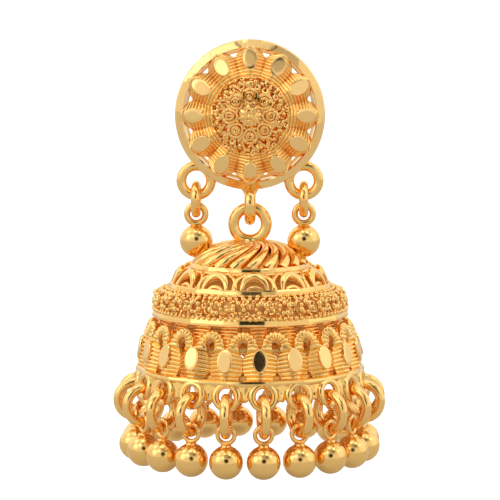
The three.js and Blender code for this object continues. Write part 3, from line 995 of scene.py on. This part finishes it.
boss_r = np.array([0, 0.8, 1.5, 2.3, 3.0, 3.35, 3.35, 2.3, 0])[:, None]
boss_a = around(96)[None, :]
boss_top = np.array([3.18, 3.16, 3.07, 2.88, 2.6, 2.4, 2.2, 2.2, 2.2])[:, None]
boss = np.stack([boss_r * np.sin(boss_a), -boss_r * np.cos(boss_a), boss_top + 0 * boss_a], -1) * MM
rosette = [(stood_up(boss), False, True)]
way = np.linspace(0, TURN, 25)
u = np.linspace(0, 1, 9)
PETAL_RINGS = 8
petal_angle = 0.32 * np.sin(way)
flat = 0 * way
eight = around(PETAL_RINGS)
rosette += [
    flower_wires(1.72 + 0.62 * np.cos(way), petal_angle, 0.10 + flat, 0.15 + flat, eight, 0.7),
    flower_wires(1.76 + 0.30 * np.cos(way), 0.5 * petal_angle, 0.2 + flat, 0.11 + flat, eight, 0.7),
    flower_wires(0.12 + 0.9 * u, 0 * u, 0.34 - 0.3 * u**2, 0.12 + 0.1 * np.sin(pi * u), around(8, 0.2), 0.6),
    flower_wires(2.25 + 0.8 * u, 0.2 * u, 0.05 + 0 * u, 0.13 + 0 * u, around(20), 0.6),
    scattered(small_curl, 3.24, 34, 0.27, 0.02, 0.6),
    scattered(small_curl, 2.66, 20, 0.33, 0.12, 0.6),
    scattered(small_grain, 2.92, 26, 0.2, 0.08, 0.0, 0.1),
    scattered(small_curl, 1.76, 8, 0.22, 0.34, 0.6),
    scattered(small_grain, 1.16, 16, 0.15, 0.12, 0.0),
    scattered(small_grain, 2.2, 16, 0.2, 0.12, 0.0, 0.2),
    scattered(small_curl, 0.52, 5, 0.24, 0.36, 0.7),
    scattered(small_grain, 0.02, 1, 0.26, 0.36, 0.0),
]
piece("stud_flower", rosette, grain_gold, "stud")

# %% [markdown]
# ## The back of the stud
#
# Behind, a flat strap crosses the open back and carries the ear post, which is riveted through
# it. The strap has rounded edges, and the post a rounded tip with a groove for its nut.

# %% Strap and post
STRAP = (0.8 * MM, 0.6 * MM, 5.6 * MM)
strap_y = -0.65 * MM
b = around(24)
square = 4
px = np.sign(np.cos(b)) * np.abs(np.cos(b)) ** (2 / square) * STRAP[0]
py = np.sign(np.sin(b)) * np.abs(np.sin(b)) ** (2 / square) * STRAP[1] / 2
z = np.linspace(-1, 1, 9)[:, None] * STRAP[2]
strap = capped(np.stack([px + 0 * z, py + strap_y + 0 * z, z + 0 * px], -1))
piece("stud_strap", [(strap, False, True)], polished, "stud")

post_low, post_high = corners("ear_post")
length = post_high[1] - post_low[1]
post = np.array(
    [
        [0, 0], [0.7, 0], [0.9, 0.08], [0.95, 0.25], [0.95, 0.45], [0.45, 0.46], [0.45, 1.14],
        [0.95, 1.15], [0.95, 1.38], [0.88, 1.45], [0.47, 1.5], [0.45, 1.7], [0.45, 9.7],
        [0.42, 9.8], [0.34, 9.95], [0.33, 10.05], [0.34, 10.15], [0.42, 10.3], [0.45, 10.4],
        [0.45, 11.6], [0.40, 11.85], [0.28, 12.0], [0.12, 12.05], [0, 12.06],
    ]
) * MM
post[:, 1] *= length / post[-1, 1]
post_grid = spun(post[None, :, 0], post[None, :, 1], around(32)).transpose(1, 0, 2)
post_grid = -stood_up(post_grid)
post_grid[..., 1] += post_low[1]
piece("ear_post_wire", [(post_grid, False, True)], polished, "stud", ["ear_post"])

# %% [markdown]
# ## The stud's rings and side beads
#
# Two rings and a staple are soldered to the stud's edge, and a bead hangs at each side on its
# link, made with the same functions as the fringe.

# %% Stud rings
SIDE_RING = (1.3 * MM, 0.9 * MM)
STAPLE = (1.3 * MM, 1.0 * MM)
side_x = middle("side_link_right")[0]
side_z = -5.8 * MM
staple_z = stud_low[2] + STAPLE[1] / 2 + STAPLE[0]
rings = [(sideways(wire_ring(*STAPLE, long=96, short=24)) + [0, HANG_Y, staple_z], True, True)]
for side in (-1, 1):
    ring = wire_ring(*SIDE_RING, long=96, short=24) + [side * side_x, HANG_Y, side_z]
    rings.append((ring, True, True))
for side in (-1, 1):
    blob = bead(1.0, 12, 20) * [0.85 * MM, 0.5 * MM, 0.42 * MM]
    x, y, z = blob[..., 0], blob[..., 1], blob[..., 2]
    slant = radians(35) * side
    blob = np.stack([x * np.cos(slant) - z * np.sin(slant), y, x * np.sin(slant) + z * np.cos(slant)], -1)
    rings.append((blob + [side * 4.0 * MM, HANG_Y, -4.72 * MM], False, True))
flare = solder_mound(0.5 * MM, 0.95 * MM, 0.9 * MM) * [1, 0.7, -1] + [0, HANG_Y, -6.35 * MM]
rings.append((flare, False, True))
piece("stud_rings", rings, drawn_wire, "stud")

SIDE_LINK_WIRE = 0.8 * MM
SIDE_LOOP = (0.81 * MM, 0.58 * MM)
for label in ("left", "right"):
    link_name, drop_name = f"side_link_{label}", f"side_drop_{label}"
    radius = ring_sizes(link_name) - SIDE_LINK_WIRE / 2
    link = sideways(wire_ring(radius, SIDE_LINK_WIRE, long=64, short=16))
    link = turned_about_z(link, radians(rng.uniform(-6, 6))) + middle(link_name)
    piece(f"{link_name}_wire", [(link, True, True)], drawn_wire, "stud", [link_name])
    hanging = drop_patches(drop_name, SIDE_LOOP, radians(rng.uniform(-5, 5)))
    piece(f"{drop_name}_bead", hanging, cast_bead, "stud", [drop_name])

# %% [markdown]
# ## The studio
#
# Gold shows its surroundings, so the surroundings are most of the picture. The world is a
# white tent: bright panels left, right and above, and a dark patch in front and a little up,
# where the camera stands, which each bead mirrors as a dark dot. The camera itself sees plain
# white. The floor lies just under the lowest bead: the camera sees it white with a painted
# glow, and the gold mirrors it darker, as painted shade.

# %% Floor
shown_low, shown_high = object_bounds()
FLOOR_GAP = 9 * MM
FLOOR_SIZE = 4.0
floor_z = shown_low[2] - FLOOR_GAP
floor_mesh = bpy.data.meshes.new("Floor")
side = FLOOR_SIZE / 2
floor_corners = [(-side, -side, floor_z), (side, -side, floor_z), (side, side, floor_z), (-side, side, floor_z)]
floor_mesh.from_pydata(floor_corners, [], [(0, 1, 2, 3)])
floor = bpy.data.objects.new("Floor", floor_mesh)
bpy.context.scene.collection.objects.link(floor)
floor_finish = bpy.data.materials.new("Floor with painted shade and glow")
floor_finish.use_nodes = True
floor_shader = floor_finish.node_tree.nodes["Principled BSDF"]
floor_shader.inputs["Roughness"].default_value = 0.9
# Painted shade: the gold mirrors a floor darker than the one the camera sees.
FLOOR_PAINTED_SHADE = 0.60  # what the gold mirrors
FLOOR_WHITE = 0.95  # what the camera sees, with a little glow that keeps it white
# Painted glow: the floor shines for camera rays, though it is no lamp.
FLOOR_PAINTED_GLOW = 0.30
# Which ray looks decides the floor: painted shade for the gold, painted glow for the camera.
looked_at = floor_finish.node_tree.nodes.new("ShaderNodeLightPath").outputs["Is Camera Ray"]
for socket, least, most in (("Base Color", FLOOR_PAINTED_SHADE, FLOOR_WHITE), ("Emission Strength", 0.0, FLOOR_PAINTED_GLOW)):
    choose = floor_finish.node_tree.nodes.new("ShaderNodeMapRange")
    choose.inputs["To Min"].default_value = least
    choose.inputs["To Max"].default_value = most
    floor_finish.node_tree.links.new(looked_at, choose.inputs["Value"])
    floor_finish.node_tree.links.new(choose.outputs[0], floor_shader.inputs[socket])
floor_shader.inputs["Emission Color"].default_value = (1, 1, 1, 1)
floor_mesh.materials.append(floor_finish)
floor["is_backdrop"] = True
print("floor at z in mm:", round(floor_z / MM, 2))

# %% The white tent
def direction(azimuth, elevation):
    """A unit vector: azimuth 0 is the front (-Y) and grows towards +X."""
    a, e = radians(azimuth), radians(elevation)
    return (np.sin(a) * np.cos(e), -np.cos(a) * np.cos(e), np.sin(e))


world = bpy.data.worlds.new("White tent")
bpy.context.scene.world = world
world.use_nodes = True
tree = world.node_tree
tree.nodes.clear()
way = tree.nodes.new("ShaderNodeTexCoord").outputs["Generated"]


def maths(operation, *values):
    """A Math node fed with sockets or numbers."""
    node = tree.nodes.new("ShaderNodeMath")
    node.operation = operation
    for socket, value in zip(node.inputs, values):
        if isinstance(value, (int, float)):
            socket.default_value = value
        else:
            tree.links.new(value, socket)
    return node.outputs[0]


def patch(azimuth, elevation, radius, soft):
    """1 within radius degrees of a direction, falling to 0 over the soft edge."""
    dot = tree.nodes.new("ShaderNodeVectorMath")
    dot.operation = "DOT_PRODUCT"
    tree.links.new(way, dot.inputs[0])
    dot.inputs[1].default_value = direction(azimuth, elevation)
    ramp = tree.nodes.new("ShaderNodeMapRange")
    ramp.interpolation_type = "SMOOTHSTEP"
    ramp.inputs["From Min"].default_value = np.cos(radians(radius + soft))
    ramp.inputs["From Max"].default_value = np.cos(radians(radius))
    tree.links.new(dot.outputs["Value"], ramp.inputs["Value"])
    return ramp.outputs["Result"]


TENT = 0.92
# azimuth, elevation, radius, soft edge, and how much the patch adds to the tent's light
PANELS = (
    (-63, 26, 12, 6, 1.1),
    (-31, 40, 8, 5, 0.9),
    (88, 22, 20, 10, 0.3),
    (130, 40, 20, 12, 0.2),
    (-140, 35, 22, 12, 0.25),
    (12, 56, 14, 9, -0.46),
    (34, 42, 8, 7, -0.42),
    (0, 90, 18, 12, 0.3),
    (46, 62, 5, 3, 1.6),
    (-14, 72, 6, 3, 1.2),
    (72, 42, 5, 3, 1.4),
    (-92, 50, 7, 4, 1.2),
    (-30, -35, 22, 16, -0.2),
    (60, -20, 14, 8, -0.2),
    (3, 20, 12, 5, -0.90),
)
light = TENT
for azimuth, elevation, radius, soft, gain in PANELS:
    light = maths("ADD", light, maths("MULTIPLY", patch(azimuth, elevation, radius, soft), gain))
light = maths("MAXIMUM", light, 0.01)
BACKDROP = 1.05
seen = tree.nodes.new("ShaderNodeLightPath").outputs["Is Camera Ray"]
level = maths("ADD", maths("MULTIPLY", light, maths("SUBTRACT", 1.0, seen)), maths("MULTIPLY", seen, BACKDROP))
glow = tree.nodes.new("ShaderNodeBackground")
tree.links.new(level, glow.inputs["Strength"])
glow.inputs["Color"].default_value = (1, 1, 1, 1)
out = tree.nodes.new("ShaderNodeOutputWorld")
tree.links.new(glow.outputs[0], out.inputs["Surface"])

# %% [markdown]
# ## The camera
#
# The picture was taken from about six degrees above, a little to the left of this earring, and
# from five times its height away, so that the rim is seen more from above than the stud. The
# camera stands as high and as far away, but straight in front, and a longer lens brings the
# earring up to fill the frame.

# %% Camera
CAMERA_AWAY = 210 * MM
CAMERA_LEFT = 0.0 * MM
CAMERA_UP = 10.45 * MM
SHOWN_SHARE = 0.84  # of the frame's height that the earring fills
aim_z = (shown_low[2] + shown_high[2]) / 2
eye = np.array([-CAMERA_LEFT, HANG_Y - CAMERA_AWAY, CAMERA_UP])
aim = np.array([0, HANG_Y, aim_z])
camera_data = bpy.data.cameras.new("Camera")
camera = bpy.data.objects.new("Camera", camera_data)
bpy.context.scene.collection.objects.link(camera)
camera.location = eye
camera.rotation_mode = "QUATERNION"
camera.rotation_quaternion = (Vector(aim) - Vector(eye)).to_track_quat("-Z", "Y")
away = np.linalg.norm(aim - eye)
shown_height = shown_high[2] - shown_low[2]
camera_data.sensor_width = 36.0
camera_data.lens = 36.0 * away * SHOWN_SHARE / shown_height
camera_data.clip_start, camera_data.clip_end = 10 * MM, 20.0
bpy.context.scene.camera = camera
bpy.context.scene.view_settings.view_transform = "Standard"
bpy.context.scene.cycles.max_bounces = 16
bpy.context.scene.cycles.glossy_bounces = 10
print("lens:", round(camera_data.lens, 1), "elevation:", round(degrees(np.arctan2(eye[2] - aim[2], CAMERA_AWAY)), 1))

# %% [markdown]
# ## Sizes
#
# The boxes of the CAD model and of the finished earring are worked out, and the finished one is printed.

# %% The sizes
size = {"cad": [list(cad_low), list(cad_high)], "visual": [list(corner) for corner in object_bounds()]}
print("visual box in mm:", [round(side / MM, 2) for side in np.subtract(*size["visual"][::-1])])
